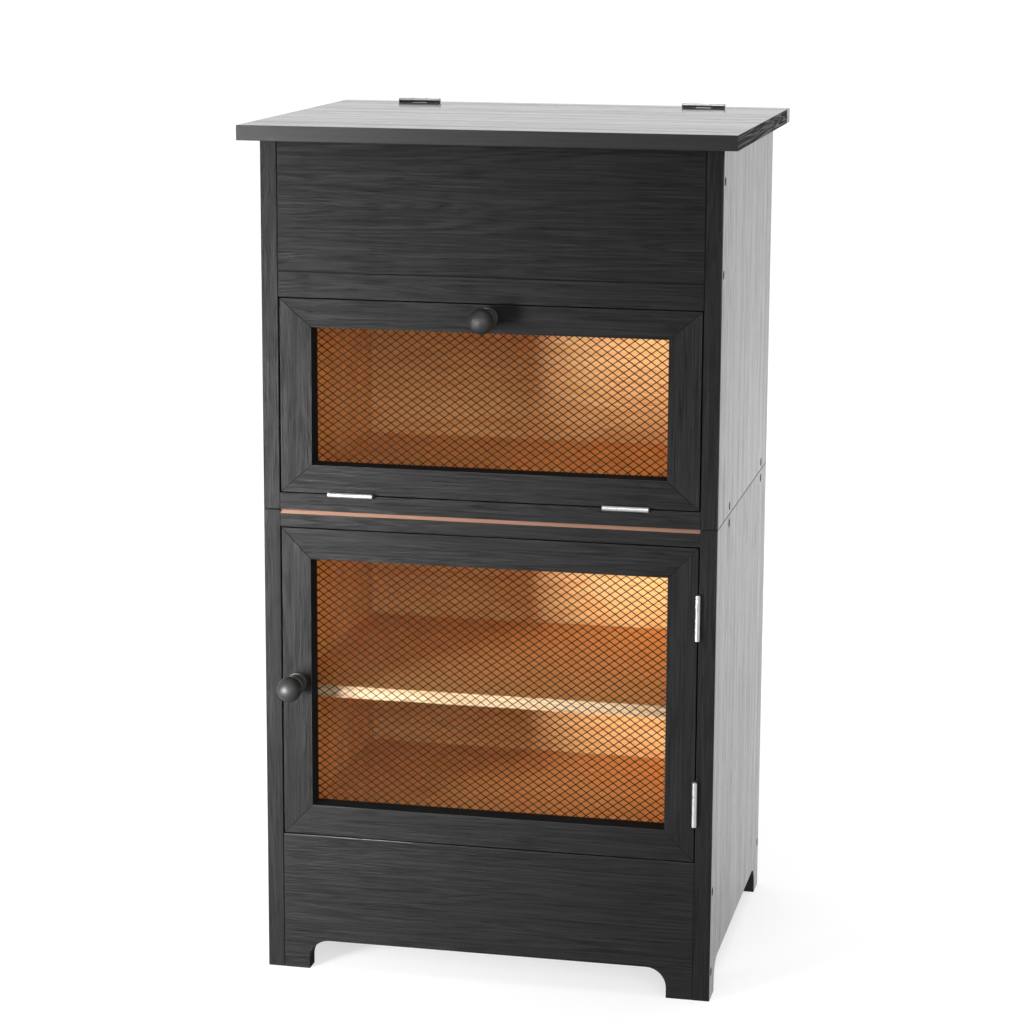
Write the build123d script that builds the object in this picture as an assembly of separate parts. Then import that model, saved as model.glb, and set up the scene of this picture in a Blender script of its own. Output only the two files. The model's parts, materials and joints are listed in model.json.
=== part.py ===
from build123d import *
from math import cos, pi, radians, sin
import os

# Potato storage bin: a lower module with a shelf behind a side-hinged mesh door, and an upper
# module with a bread compartment behind a drop-down mesh door and a deep bin under a lid.
# Lengths are millimetres. X runs to the right, Y from the front to the back, Z up. The model
# is drawn with y = 0 at the carcass's front face and moved at the end, so that the origin is
# the middle of the whole object's footprint, on the floor.

# Carcass
CARCASS_W = 400.0
CARCASS_D = 320.0
SEAM_Z = 420.0  # top of the lower module, bottom of the upper one
CARCASS_H = 742.0
BOARD = 15.0
INNER_X = CARCASS_W / 2 - BOARD
BACK_Y = CARCASS_D - BOARD  # front face of the back panels
APRON_H = 125.0
PANEL_Z = 607.0  # bottom of the fixed front panel
ARCH_RISE = 27.0
ARCH_R = 18.0
APRON_FOOT = 23.5
SIDE_FOOT = 26.0
BARE_BEVEL = 3.2  # bare front arris of the lower module's roof
SCORE_Z = 629.0  # scored line across the fixed front panel
SCORE = 0.5

# Bin floor and shelf
FLOOR_T = 5.0
FLOOR_Z = 612.0
GROOVE = 5.0
SHELF_T = 11.0
SHELF_Z = 244.0
SHELF_FRONT = 32.0
SHELF_PLAY = 0.5
SHELF_BACK_PLAY = 2.0
SHELF_PIN_R = 2.5
SHELF_PIN_L = 18.0
SHELF_PIN_Y = (75.0, 262.0)

# Lid and the fixed rail behind it
LID_T = 13.0
LID_SIDE = 14.0  # overhangs
LID_FRONT = 22.0
LID_BACK = 8.0
RAIL_D = 20.0
LID_X = CARCASS_W / 2 + LID_SIDE
RAIL_Y = CARCASS_D + LID_BACK - RAIL_D
LID_TOP = CARCASS_H + LID_T

# Doors
GAP = 1.2  # between a door and the boards round it
DOOR_T = 20.0
DOOR_X = INNER_X - GAP
BREAD_BOTTOM = SEAM_Z + BOARD + GAP
BREAD_TOP = PANEL_Z - GAP
BREAD_STILE = 28.0
BREAD_RAIL = 24.5
BREAD_BACK_BEVEL = 0.8  # the top edge falls this much to the back, to clear the panel
LOWER_BOTTOM = APRON_H + GAP
LOWER_TOP = SEAM_Z - BOARD - GAP
LOWER_STILE = 26.0
LOWER_RAIL = 27.0

# Wire mesh: two layers of flat wire, welded where they cross
MESH_PITCH_X = 9.5
MESH_PITCH_Z = 6.9
WIRE_W = 0.9
WIRE_T = 0.6
MESH_LAP = 7.0  # how far the mesh laps over the frame's back face

# Staples
STAPLE_WIRE = 0.7
STAPLE_LEG = 6.0
STAPLE_COLUMNS = (-12, 0, 12)  # mesh pitches from the middle, along the rails
STAPLE_SPREAD = 0.6  # of half the mesh's height, from the middle to a stile's outer staples

# Butt hinges
HINGE_L = 40.0
LEAF_T = 1.0
LEAF_W = 14.0
LEAF_PLAY = 0.1  # from each leaf to the hinge's middle plane
BARREL_R = 2.4
BARREL_OUT = 2.5  # axis in front of the face it is hung on
PIN_R = 1.2
PIN_BORE_R = 1.25
PIN_HEAD_R = 1.8
PIN_HEAD_T = 0.6
KNUCKLE_END = 7.0  # where the middle knuckle meets the outer ones
KNUCKLE_PLAY = 0.15
LEAF_SCREW_X = 12.0
LEAF_SCREW_Y = 8.0
LID_HINGE_X = 136.0
BREAD_HINGE_X = 121.0
LOWER_HINGE_Z = {"top": 343.5, "bottom": 178.5}

# Screws and dowels
CARCASS_SCREW = {"length": 40.0, "shank": 2.0, "head": 3.6}
HINGE_SCREW = {"length": 12.0, "shank": 1.25, "head": 1.25 + LEAF_T}  # head as deep as a leaf
DOWEL_R = 3.0
DOWEL_L = 30.0
DOWEL_IN = 10.0  # depth of a dowel's shorter end
FRONT_SCREW_Z = (714.5, 636.5, 98.0, 25.0)  # into the ends of the front panel and the apron
SEAM_SCREW_Y = (70.0, 280.0)  # into the boards above and below the seam
BACK_SCREW_Z = 45.0
STACK_DOWEL_Y = (110.0, 230.0)  # from the lower sides up into the upper ones
BOTTOM_DOWEL_Y = (80.0, 240.0)
BACK_DOWEL_Z = (150.0, 380.0, 470.0, 690.0)
RAIL_DOWEL_X = (-170.0, 0.0, 170.0)
RAIL_DOWEL_IN = 6.0  # behind the rail's front edge

# Knobs
KNOB_LOWER = (-INNER_X + GAP + LOWER_STILE / 2, 265.0)
KNOB_BREAD = (0.0, 595.0)
KNOB_BALL_R = 11.0
KNOB_BALL_OUT = 25.5
KNOB_STEM = (  # (radius, distance out): flange, neck, bead and saucer
    (9.0, 0.0), (9.0, 1.8), (7.2, 3.0), (6.0, 5.0), (5.6, 7.4),
    (7.2, 7.8), (8.1, 9.3), (7.2, 10.8), (6.2, 11.6), (6.2, 12.6),
    (9.2, 13.6), (9.6, 15.6),
)
KNOB_LATITUDES = (-44, -26, -9, 9, 26, 44, 62)  # rings of the ball, in degrees
KNOB_NOSE_R = 2.4
KNOB_SCREW_R = 2.0
KNOB_SCREW_HEAD_R = 4.0
KNOB_SCREW_HEAD_T = 1.6
KNOB_SCREW_DOME_R = 2.4
KNOB_SCREW_IN = 12.0

# Magnetic catches
CATCH_GAP = 0.2
STRIKE_T = 1.0
STRIKE_W = 12.0
STRIKE_H = 26.0
STRIKE_CORNER = 2.0
STRIKE_IN = 8.0  # from the side panel to the strike's middle
CATCH_Z = {"bread": 560.0, "lower": 330.0}
CATCH_X = -INNER_X
CATCH_DEPTH = 14.0
CATCH_EAR_T = 2.5
CATCH_EAR_H = 42.0
CATCH_BLOCK_W = 12.0
CATCH_BLOCK_H = 22.0
CATCH_CORNER = 2.5
CATCH_SCREW_Z = 16.0  # from the catch's middle to each ear's screw
MAGNET_X = (5.0, 10.0)  # from the side panel
MAGNET_D = 10.0
MAGNET_H = 16.0

# Flat sides that stand for a circle on the small turned pieces, which keeps their facets few
SCREW_SIDES = 6
PIN_SIDES = 8
FLAT_TO_CORNER = cos(pi / PIN_SIDES)  # a flat-sided bore is measured across its flats
KNOB_SIDES = 16

FOOTPRINT_MIDDLE = (CARCASS_D + LID_BACK - KNOB_BALL_OUT - KNOB_BALL_R) / 2


def slab(x, y, z):
    """A square-edged board between the (low, high) pairs x, y and z."""
    size = [high - low for low, high in (x, y, z)]
    return Pos(x[0], y[0], z[0]) * Box(*size, align=(Align.MIN,) * 3)


def both(value):
    """The value on either side of the middle."""
    return (-value, value)


def arched(width, height, foot):
    """Outline of a board that stands on two feet, with a round-cornered gap between them."""
    gap = Pos(0, ARCH_RISE / 2) * Rectangle(width - 2 * foot, ARCH_RISE)
    top_corners = gap.vertices().sort_by(Axis.Y)[-2:]
    return Pos(0, height / 2) * Rectangle(width, height) - fillet(top_corners, ARCH_R)


def seat(board, inserts):
    """The board with a seat cut for every insert that reaches into it."""
    box = board.bounding_box()
    inside = [i for i in inserts if box.overlaps(i.bounding_box())]
    return board - inside if inside else board


def group(solids):
    """Separate solids as one node."""
    return Compound(children=list(solids))


def at(point, x_dir, z_dir):
    """Placement with its local X and Z along the given directions."""
    return Plane(origin=point, x_dir=x_dir, z_dir=z_dir).location


def turned(rings, sides):
    """A turned piece along Z, with flat sides, through its (radius, height) rings."""
    turns = [2 * pi * k / sides for k in range(sides)]
    levels = [
        [Vector(radius * cos(turn), radius * sin(turn), height) for turn in turns]
        for radius, height in rings
    ]
    faces = [Face(Wire.make_polygon(level)) for level in (levels[0], levels[-1])]
    for near, far in zip(levels, levels[1:]):
        for k in range(sides):
            corners = [near[k - 1], near[k], far[k], far[k - 1]]
            faces.append(Face(Wire.make_polygon(corners)))
    return Solid(Shell(faces))


# ---------------------------------------------------------------- screws, dowels, pins


def wood_screw(length, shank, head):
    """Countersunk screw down -Z from its flat head face at z = 0."""
    return turned([(head, 0), (shank, shank - head), (shank, -length)], SCREW_SIDES)


def carcass_screws():
    """The screws through both sides into the ends of the boards between them."""
    front = BOARD / 2
    back = BACK_Y + BOARD / 2
    places = [(front, z) for z in FRONT_SCREW_Z]
    places += [(y, SEAM_Z + dz) for y in SEAM_SCREW_Y for dz in both(BOARD / 2)]
    places += [(back, BACK_SCREW_Z)]
    screw = wood_screw(**CARCASS_SCREW)
    return [
        at((side * CARCASS_W / 2, y, z), (0, 1, 0), (side, 0, 0)) * screw
        for side in (-1, 1)
        for y, z in places
    ]


def dowels():
    """Hidden dowels: module to module, boards to sides, and the hinge rail to the back."""
    peg = turned([(DOWEL_R, -DOWEL_L / 2), (DOWEL_R, DOWEL_L / 2)], SCREW_SIDES)
    across = Rot(0, 90, 0) * peg
    back = BACK_Y + BOARD / 2
    middle_x = CARCASS_W / 2 - BOARD / 2
    inward = INNER_X + DOWEL_IN - DOWEL_L / 2
    pegs = [Pos(x, y, SEAM_Z) * peg for x in both(middle_x) for y in STACK_DOWEL_Y]
    level = [(y, APRON_H - BOARD / 2) for y in BOTTOM_DOWEL_Y]
    level += [(back, z) for z in BACK_DOWEL_Z]
    pegs += [Pos(x, y, z) * across for x in both(inward) for y, z in level]
    rail_z = CARCASS_H + DOWEL_IN - DOWEL_L / 2
    pegs += [Pos(x, RAIL_Y + RAIL_DOWEL_IN, rail_z) * peg for x in RAIL_DOWEL_X]
    return pegs


def shelf_pins():
    """Four steel pins, half in the sides and half under the shelf."""
    half = SHELF_PIN_L / 2
    pin = Rot(0, 90, 0) * turned([(SHELF_PIN_R, -half), (SHELF_PIN_R, half)], SCREW_SIDES)
    return [
        Pos(x, y, SHELF_Z - SHELF_PIN_R) * pin for x in both(INNER_X) for y in SHELF_PIN_Y
    ]


# ---------------------------------------------------------------- butt hinges


def barrel(radius, start, end):
    """A length of barrel on the hinge's axis, which is local X."""
    return Rot(0, 90, 0) * turned([(radius, start), (radius, end)], PIN_SIDES)


def leaf_screws(side):
    """The two screws of a leaf; side is -1 for the fixed leaf below and 1 for the moving one."""
    screw = wood_screw(**HINGE_SCREW)
    return [
        at((x, LEAF_SCREW_Y, side * LEAF_PLAY), (1, 0, 0), (0, 0, -side)) * screw
        for x in both(LEAF_SCREW_X)
    ]


def leaf(side):
    """A hinge leaf: the fixed one has the two outer knuckles, the moving one the middle one."""
    end = HINGE_L / 2
    outer = [(-end, -KNUCKLE_END), (KNUCKLE_END, end)]
    middle = [(-KNUCKLE_END + KNUCKLE_PLAY, KNUCKLE_END - KNUCKLE_PLAY)]
    own, other = (outer, middle) if side < 0 else (middle, outer)
    faces = sorted((side * LEAF_PLAY, side * (LEAF_PLAY + LEAF_T)))
    plate = slab(both(end), (0, LEAF_W), faces)
    for start, stop in other:
        room = (start - 2 * KNUCKLE_PLAY, stop + 2 * KNUCKLE_PLAY)
        plate -= slab(room, (-BARREL_R, BARREL_R + 2 * KNUCKLE_PLAY), faces)
    for span in own:
        plate += barrel(BARREL_R, *span)
    plate -= barrel(PIN_BORE_R / FLAT_TO_CORNER, -end - 1, end + 1)
    return plate - leaf_screws(side)


def hinge_pin():
    """The pin, with a small head at each end that holds it in the barrel."""
    end = HINGE_L / 2
    half = [(PIN_R, end), (PIN_HEAD_R, end), (PIN_HEAD_R, end + PIN_HEAD_T)]
    rings = [(radius, -height) for radius, height in reversed(half)] + half
    return Rot(0, 90, 0) * turned(rings, PIN_SIDES)


def leaf_pocket(side):
    """The shallow recess that a leaf is let into."""
    depth = LEAF_PLAY + LEAF_T
    faces = sorted((0, side * depth))
    return slab(both(HINGE_L / 2), (-BARREL_OUT, LEAF_W), faces)


def hinge_places():
    """Where the six hinges sit. Local X is the axis, Y runs into the joint between the boards
    and Z points from the fixed board to the moving one."""
    seam = GAP / 2
    lid_y = RAIL_Y - seam
    places = {}
    for name, side in (("left", -1), ("right", 1)):
        lid_point = (side * LID_HINGE_X, lid_y, LID_TOP + BARREL_OUT)
        places["lid_hinge_" + name] = at(lid_point, (-1, 0, 0), (0, -1, 0))
        bread_point = (side * BREAD_HINGE_X, -BARREL_OUT, BREAD_BOTTOM - seam)
        places["bread_hinge_" + name] = at(bread_point, (1, 0, 0), (0, 0, 1))
    for name, z in LOWER_HINGE_Z.items():
        point = (INNER_X - seam, -BARREL_OUT, z)
        places["lower_hinge_" + name] = at(point, (0, 0, 1), (-1, 0, 0))
    return places


# ---------------------------------------------------------------- mesh doors


def mitred_member(outer, inner, back_bevel=0.0):
    """A frame member from its outer edge (two points in x, z) to its inner edge."""
    outline = make_face(Polyline(*outer, *reversed(inner), close=True))
    member = extrude(Plane.XZ * outline, -DOOR_T)
    if back_bevel:
        top = max(z for _, z in outer)
        x = DOOR_X + 1
        wedge = make_face(
            Polyline((0, top), (DOOR_T, top), (DOOR_T, top - back_bevel), close=True)
        )
        member -= Pos(-x, 0, 0) * extrude(Plane.YZ * wedge, 2 * x)
    return member


def door_frame(bottom, top, stile, rail, back_bevel=0.0):
    """Four mitred members: top and bottom rails, left and right stiles."""
    x = DOOR_X
    corners = [(-x, top), (x, top), (x, bottom), (-x, bottom)]
    opening = [
        (-x + stile, top - rail),
        (x - stile, top - rail),
        (x - stile, bottom + rail),
        (-x + stile, bottom + rail),
    ]
    names = ("top_rail", "right_stile", "bottom_rail", "left_stile")
    members = {}
    for i, name in enumerate(names):
        j = (i + 1) % 4
        bevel = back_bevel if name != "bottom_rail" else 0.0
        members[name] = mitred_member(
            (corners[i], corners[j]), (opening[i], opening[j]), bevel
        )
    return members


def wire_ends(start_x, lean, half_x, half_z):
    """Where the line that rises by lean from (start_x, 0) meets a centred rectangle's edges."""
    at_sides = sorted((edge - start_x for edge in both(half_x)))
    at_ends = sorted((edge / lean for edge in both(half_z)))
    runs = (max(at_sides[0], at_ends[0]), min(at_sides[1], at_ends[1]))
    return [(start_x + run, run * lean) for run in runs]


def wire_mesh(width, height):
    """Diamond mesh on the plane y = 0, each wire a flat strip from edge to edge."""
    half_x, half_z = width / 2, height / 2
    reach = int(half_x / MESH_PITCH_X + half_z / MESH_PITCH_Z) + 1
    wires = []
    for layer, lean in enumerate(both(MESH_PITCH_Z / MESH_PITCH_X)):
        y = (layer + 0.5) * WIRE_T
        for k in range(-reach, reach + 1):
            (x0, z0), (x1, z1) = wire_ends(k * MESH_PITCH_X, lean, half_x, half_z)
            if x1 - x0 < 2 * WIRE_W:
                continue
            run = Vector(x1 - x0, 0, z1 - z0)
            middle = ((x0 + x1) / 2, y, (z0 + z1) / 2)
            wires.append(at(middle, run, (0, 1, 0)) * Box(run.length, WIRE_W, WIRE_T))
    return wires


def staple(along):
    """A wire staple with its crown flat on the mesh and its legs in the frame behind."""
    pitch = MESH_PITCH_X if along == "x" else MESH_PITCH_Z
    half = pitch / 2
    crown_y = 2 * WIRE_T
    crown = (-half - STAPLE_WIRE / 2, half + STAPLE_WIRE / 2)
    depth = (crown_y, crown_y + STAPLE_WIRE)
    wire = both(STAPLE_WIRE / 2)
    body = slab(crown, depth, wire)
    for x in both(half):
        leg = (x - STAPLE_WIRE / 2, x + STAPLE_WIRE / 2)
        body += slab(leg, (-STAPLE_LEG, crown_y), wire)
    return body if along == "x" else Rot(0, 90, 0) * body


def mesh_staples(width, height):
    """Staples round the mesh, each leg in the middle of a diamond of the mesh."""
    inset = MESH_LAP / 2
    row = round((height / 2 - inset) / MESH_PITCH_Z) * MESH_PITCH_Z
    column = round((width / 2 - inset) / MESH_PITCH_X) * MESH_PITCH_X
    upright_step = round(height / 2 / MESH_PITCH_Z * STAPLE_SPREAD) * MESH_PITCH_Z
    staples = []
    for k in STAPLE_COLUMNS:
        staples += [Pos(k * MESH_PITCH_X, 0, z) * staple("x") for z in both(row)]
    for k in (-1, 0, 1):
        staples += [Pos(x, 0, k * upright_step) * staple("z") for x in both(column)]
    return staples


def knob():
    """Turned knob along -Y from its flange on y = 0: flange, neck, bead, saucer and ball."""
    rings = list(KNOB_STEM)
    for latitude in KNOB_LATITUDES:
        angle = radians(latitude)
        rings.append((KNOB_BALL_R * cos(angle), KNOB_BALL_OUT + KNOB_BALL_R * sin(angle)))
    rings.append((KNOB_NOSE_R, KNOB_BALL_OUT + KNOB_BALL_R))
    return Rot(90, 0, 0) * turned(rings, KNOB_SIDES)


def knob_screw():
    """Machine screw from the frame's back face, through it and into the knob."""
    rings = [(KNOB_SCREW_R, -DOOR_T - KNOB_SCREW_IN), (KNOB_SCREW_R, 0), (KNOB_SCREW_HEAD_R, 0)]
    rings += [(KNOB_SCREW_HEAD_R, KNOB_SCREW_HEAD_T / 2), (KNOB_SCREW_DOME_R, KNOB_SCREW_HEAD_T)]
    return Rot(-90, 0, 0) * turned(rings, SCREW_SIDES)


def strike(x, z):
    """Steel plate on the frame's back face that the magnet holds, and its screw."""
    aligned = (Align.CENTER, Align.MIN, Align.CENTER)
    plate = Box(STRIKE_W, STRIKE_T, STRIKE_H, align=aligned)
    corners = plate.edges().filter_by(Axis.Y)
    plate = Pos(x, DOOR_T, z) * chamfer(corners, STRIKE_CORNER)
    screw = at((x, DOOR_T + STRIKE_T, z), (1, 0, 0), (0, 1, 0)) * wood_screw(**HINGE_SCREW)
    return plate - screw, screw


def mesh_door(name, frame_sizes, knob_at, hinges):
    """Every piece that swings with a mesh door, by node name."""
    bottom, top, stile, rail, bevel = frame_sizes
    frame = door_frame(bottom, top, stile, rail, bevel)
    width = 2 * (DOOR_X - stile + MESH_LAP)
    height = top - bottom - 2 * rail + 2 * MESH_LAP
    middle = Pos(0, DOOR_T, (top + bottom) / 2)
    mesh = [middle * wire for wire in wire_mesh(width, height)]
    staples = [middle * s for s in mesh_staples(width, height)]
    place = Pos(knob_at[0], 0, knob_at[1])
    bolt = place * Pos(0, DOOR_T, 0) * knob_screw()
    handle = place * knob() - bolt
    plate, strike_screw = strike(CATCH_X + STRIKE_IN, CATCH_Z[name])
    screws = [strike_screw]
    pockets = []
    pieces = {}
    for hinge, where in hinges.items():
        screws += [where * s for s in leaf_screws(1)]
        pockets.append(where * leaf_pocket(1))
        pieces[hinge + "_moving_leaf"] = where * leaf(1)
    for part, member in frame.items():
        pieces[f"{name}_door_{part}"] = seat(member, screws + pockets + staples + [bolt])
    pieces[f"{name}_door_mesh"] = group(mesh)
    pieces[f"{name}_door_staples"] = group(staples)
    pieces[f"{name}_door_knob"] = handle
    pieces[f"{name}_door_knob_screw"] = bolt
    pieces[f"{name}_door_strike"] = plate
    pieces[f"{name}_door_screws"] = group(screws)
    return pieces


# ---------------------------------------------------------------- magnetic catches


def catch(z):
    """A magnetic catch on the left side: housing with two ears, its magnet, and its screws."""
    face = DOOR_T + STRIKE_T + CATCH_GAP
    span = (face, face + CATCH_DEPTH)

    def upright(height):
        return (z - height / 2, z + height / 2)

    ears = slab((CATCH_X, CATCH_X + CATCH_EAR_T), span, upright(CATCH_EAR_H))
    block = slab((CATCH_X, CATCH_X + CATCH_BLOCK_W), span, upright(CATCH_BLOCK_H))
    corners = block.edges().filter_by(Axis.Y).sort_by(Axis.X)[-2:]
    magnet_x = [CATCH_X + x for x in MAGNET_X]
    magnet = slab(magnet_x, (face, face + MAGNET_D), upright(MAGNET_H))
    middle = face + CATCH_DEPTH / 2
    screw = wood_screw(**HINGE_SCREW)
    screws = [
        at((CATCH_X + CATCH_EAR_T, middle, z + dz), (0, 1, 0), (1, 0, 0)) * screw
        for dz in both(CATCH_SCREW_Z)
    ]
    housing = ears + chamfer(corners, CATCH_CORNER) - magnet
    return housing - screws, magnet, screws


# ---------------------------------------------------------------- boards


def lower_module():
    """The boards of the lower module, before their seats are cut."""
    inner = both(INNER_X)
    outline = Pos(CARCASS_D / 2, 0) * arched(CARCASS_D, SEAM_Z, SIDE_FOOT)
    side = extrude(Plane.YZ * outline, BOARD)
    roof = slab(inner, (0, BACK_Y), (SEAM_Z - BOARD, SEAM_Z))
    arris = roof.edges().filter_by(Axis.X).sort_by(Axis.Y)[:2].sort_by(Axis.Z)[-1]
    back = extrude(Plane.XZ * arched(2 * INNER_X, SEAM_Z, APRON_FOOT), -BOARD)
    return {
        "lower_side_left": Pos(-CARCASS_W / 2, 0, 0) * side,
        "lower_side_right": Pos(INNER_X, 0, 0) * side,
        "apron": extrude(Plane.XZ * arched(2 * INNER_X, APRON_H, APRON_FOOT), -BOARD),
        "lower_back_panel": Pos(0, BACK_Y, 0) * back,
        "lower_bottom_board": slab(inner, (BOARD, BACK_Y), (APRON_H - BOARD, APRON_H)),
        "lower_top_board": chamfer(arris, BARE_BEVEL),
    }


def upper_module():
    """The boards of the upper module, before their seats are cut."""
    inner = both(INNER_X)
    height = (SEAM_Z, CARCASS_H)
    panel = slab(inner, (0, BOARD), (PANEL_Z, CARCASS_H))
    notch = Polyline((0, SCORE_Z - SCORE), (SCORE, SCORE_Z), (0, SCORE_Z + SCORE), close=True)
    line = Pos(-INNER_X, 0, 0) * extrude(Plane.YZ * make_face(notch), 2 * INNER_X)
    return {
        "upper_side_left": slab((-CARCASS_W / 2, -INNER_X), (0, CARCASS_D), height),
        "upper_side_right": slab((INNER_X, CARCASS_W / 2), (0, CARCASS_D), height),
        "upper_front_panel": panel - line,
        "upper_back_panel": slab(inner, (BACK_Y, CARCASS_D), height),
        "upper_bottom_board": slab(inner, (0, BACK_Y), (SEAM_Z, SEAM_Z + BOARD)),
        "lid_hinge_rail": slab(both(LID_X), (RAIL_Y, RAIL_Y + RAIL_D), (CARCASS_H, LID_TOP)),
    }


def build():
    """Every node of the object, by name."""
    hinges = hinge_places()
    screws, pegs, pins = carcass_screws(), dowels(), shelf_pins()
    carcass_hinge_screws = [w * s for w in hinges.values() for s in leaf_screws(-1)]
    pockets = [w * leaf_pocket(-1) for w in hinges.values()]
    bin_floor = slab(
        both(INNER_X + GROOVE),
        (BOARD - GROOVE, BACK_Y + GROOVE),
        (FLOOR_Z, FLOOR_Z + FLOOR_T),
    )
    catches = {name: catch(z) for name, z in CATCH_Z.items()}
    catch_screws = [s for c in catches.values() for s in c[2]]

    held = screws + pegs + pins + carcass_hinge_screws + pockets + [bin_floor] + catch_screws
    pieces = {
        name: seat(board, held) for name, board in {**lower_module(), **upper_module()}.items()
    }
    pieces["bin_floor"] = bin_floor
    pieces["shelf"] = slab(
        both(INNER_X - SHELF_PLAY), (SHELF_FRONT, BACK_Y - SHELF_BACK_PLAY), (SHELF_Z, SHELF_Z + SHELF_T)
    )
    pieces["shelf_pins"] = group(pins)
    pieces["carcass_screws"] = group(screws)
    pieces["dowels"] = group(pegs)
    pieces["carcass_hinge_screws"] = group(carcass_hinge_screws)
    for name, (housing, _, _) in catches.items():
        pieces[name + "_catch"] = housing
    pieces["catch_magnets"] = group(c[1] for c in catches.values())
    pieces["catch_screws"] = group(catch_screws)

    for name, where in hinges.items():
        pieces[name + "_fixed_leaf"] = where * leaf(-1)
    for pair in ("lid_hinge", "bread_hinge", "lower_hinge"):
        pins_of_pair = [w * hinge_pin() for n, w in hinges.items() if n.startswith(pair)]
        pieces[pair + "_pins"] = group(pins_of_pair)

    lid_hinges = {n: w for n, w in hinges.items() if n.startswith("lid")}
    lid_screws = [w * s for w in lid_hinges.values() for s in leaf_screws(1)]
    lid_pockets = [w * leaf_pocket(1) for w in lid_hinges.values()]
    lid = slab(both(LID_X), (-LID_FRONT, RAIL_Y - GAP), (CARCASS_H, LID_TOP))
    pieces["lid_board"] = seat(lid, lid_screws + lid_pockets)
    pieces["lid_screws"] = group(lid_screws)
    for name, where in lid_hinges.items():
        pieces[name + "_moving_leaf"] = where * leaf(1)

    doors = {
        "bread": ((BREAD_BOTTOM, BREAD_TOP, BREAD_STILE, BREAD_RAIL, BREAD_BACK_BEVEL), KNOB_BREAD),
        "lower": ((LOWER_BOTTOM, LOWER_TOP, LOWER_STILE, LOWER_RAIL, 0.0), KNOB_LOWER),
    }
    for name, (frame_sizes, knob_at) in doors.items():
        own = {n: w for n, w in hinges.items() if n.startswith(name)}
        pieces.update(mesh_door(name, frame_sizes, knob_at, own))
    return pieces


os.makedirs("parts", exist_ok=True)
to_origin = Pos(0, -FOOTPRINT_MIDDLE, 0)
for node, piece in build().items():
    export_step(to_origin * piece, f"parts/{node}.step")
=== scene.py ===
# %% [markdown]
# # A potato storage bin
#
# The object is a kitchen cupboard in black wood-grain foil. A bin under a hinged lid stands on
# a bread compartment and a shelf compartment, each closed by a door of wire mesh. The packed
# model gives every size and every joint. This lesson gives each piece its finish, and makes
# the rounded, turned and bent pieces that flat-sided solids only stand for.

# %% Frame
import json
import math

import bmesh
import bpy
from mathutils import Matrix, Vector

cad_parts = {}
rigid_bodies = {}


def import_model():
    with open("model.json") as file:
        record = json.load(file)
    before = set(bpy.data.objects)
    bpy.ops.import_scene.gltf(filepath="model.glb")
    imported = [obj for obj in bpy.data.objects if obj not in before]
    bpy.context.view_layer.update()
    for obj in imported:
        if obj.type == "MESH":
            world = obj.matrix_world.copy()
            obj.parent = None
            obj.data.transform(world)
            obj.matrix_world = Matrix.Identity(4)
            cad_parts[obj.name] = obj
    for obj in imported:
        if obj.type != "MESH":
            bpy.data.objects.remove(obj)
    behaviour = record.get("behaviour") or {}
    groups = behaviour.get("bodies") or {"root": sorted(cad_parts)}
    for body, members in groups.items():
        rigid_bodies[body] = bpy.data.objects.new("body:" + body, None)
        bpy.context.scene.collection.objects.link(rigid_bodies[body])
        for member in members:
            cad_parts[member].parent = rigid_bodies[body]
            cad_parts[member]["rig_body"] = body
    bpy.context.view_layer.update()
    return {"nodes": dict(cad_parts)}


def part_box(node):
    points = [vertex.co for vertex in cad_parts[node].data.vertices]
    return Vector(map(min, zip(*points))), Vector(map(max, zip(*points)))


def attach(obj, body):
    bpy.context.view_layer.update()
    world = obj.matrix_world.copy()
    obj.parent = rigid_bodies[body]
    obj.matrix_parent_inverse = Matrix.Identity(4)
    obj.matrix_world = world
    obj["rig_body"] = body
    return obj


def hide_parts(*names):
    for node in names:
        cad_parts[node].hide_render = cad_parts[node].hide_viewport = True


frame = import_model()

nodes = frame["nodes"]

# %% [markdown]
# ## Millimetres, places and pieces
# A cabinet maker measures from the front face of the carcass, in millimetres, while the frame
# is in metres from the middle of the footprint. One placement turns the one into the other.
# Each finished piece stands for one imported node: it rides on that node's body, so the joints of
# the record go on working.

# %% Places and pieces
X, Y, Z = 0, 1, 2
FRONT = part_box("lower_side_left")[0].y * 1000  # the carcass's front face in the frame
SIDE_X, BOARD = 200.0, 15.0  # outer face of each side from the middle, and its thickness
INNER_X = SIDE_X - BOARD
BACK_Y, SEAM_Z, CARCASS_H = 305.0, 420.0, 742.0  # back panel's face, modules' joint, whole height
DOOR_T = 20.0


def at(point, x_dir=(1, 0, 0), z_dir=(0, 0, 1)):
    """Placement of a piece drawn in millimetres, with its own X and Z along these directions."""
    x_dir, z_dir = Vector(x_dir), Vector(z_dir)
    turn = Matrix((x_dir, z_dir.cross(x_dir), z_dir)).transposed().to_4x4()
    origin = Vector(point) + Vector((0, FRONT, 0))
    return Matrix.Scale(0.001, 4) @ Matrix.Translation(origin) @ turn


def assembled(name, parts):
    """One mesh in the frame from (mesh, placement) pairs."""
    whole = bmesh.new()
    for mesh, place in parts:
        first = len(whole.verts)
        whole.from_mesh(mesh)
        whole.verts.ensure_lookup_table()
        for vert in whole.verts[first:]:
            vert.co = place @ vert.co
    mesh = bpy.data.meshes.new(name)
    whole.to_mesh(mesh)
    whole.free()
    return mesh


def rounded(mesh, degrees=32):
    """Shade curved runs smooth and keep every edge sharper than this angle crisp."""
    mesh.polygons.foreach_set("use_smooth", [True] * len(mesh.polygons))
    mesh.set_sharp_from_angle(angle=math.radians(degrees))
    return mesh


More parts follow.
